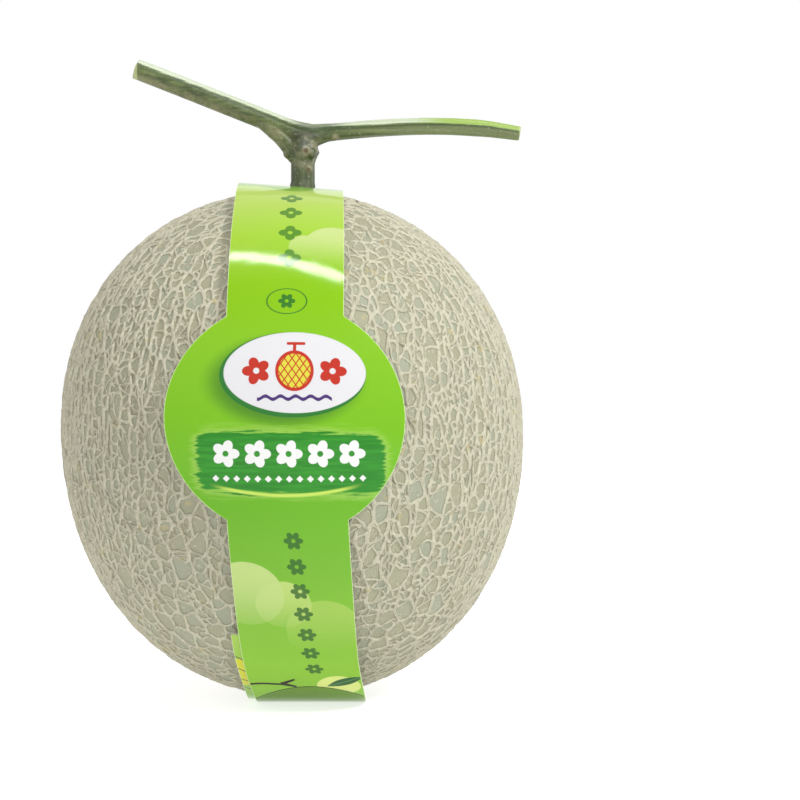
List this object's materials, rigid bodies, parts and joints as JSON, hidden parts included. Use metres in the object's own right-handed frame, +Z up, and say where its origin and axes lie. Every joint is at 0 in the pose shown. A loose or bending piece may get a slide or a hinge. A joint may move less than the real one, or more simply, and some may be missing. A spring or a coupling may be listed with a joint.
{
  "type": "netted muskmelon",
  "caption": "Round netted muskmelon standing on its flat spot, with a T-shaped vine stem and a printed card band looped over the crown and under the fruit.",
  "frame": {"origin": "on the table, under the middle of the fruit, on the flat underside of the band's foot", "axes": "+Z up through the stalk; -Y towards the front, where the badge faces; +X to the right as seen from the front"},
  "size_m": [0.1498, 0.1527, 0.2088],
  "materials": {
    "netted_rind": "grey-green rind under a raised, matt, corky beige net",
    "green_stem": "dull green ribbed vine with pale specks and brown scars",
    "printed_card": null
  },
  "bodies": {
    "root": {"fruit": "netted_rind", "stem": "green_stem", "band": "printed_card"}
  },
  "joints": []
}
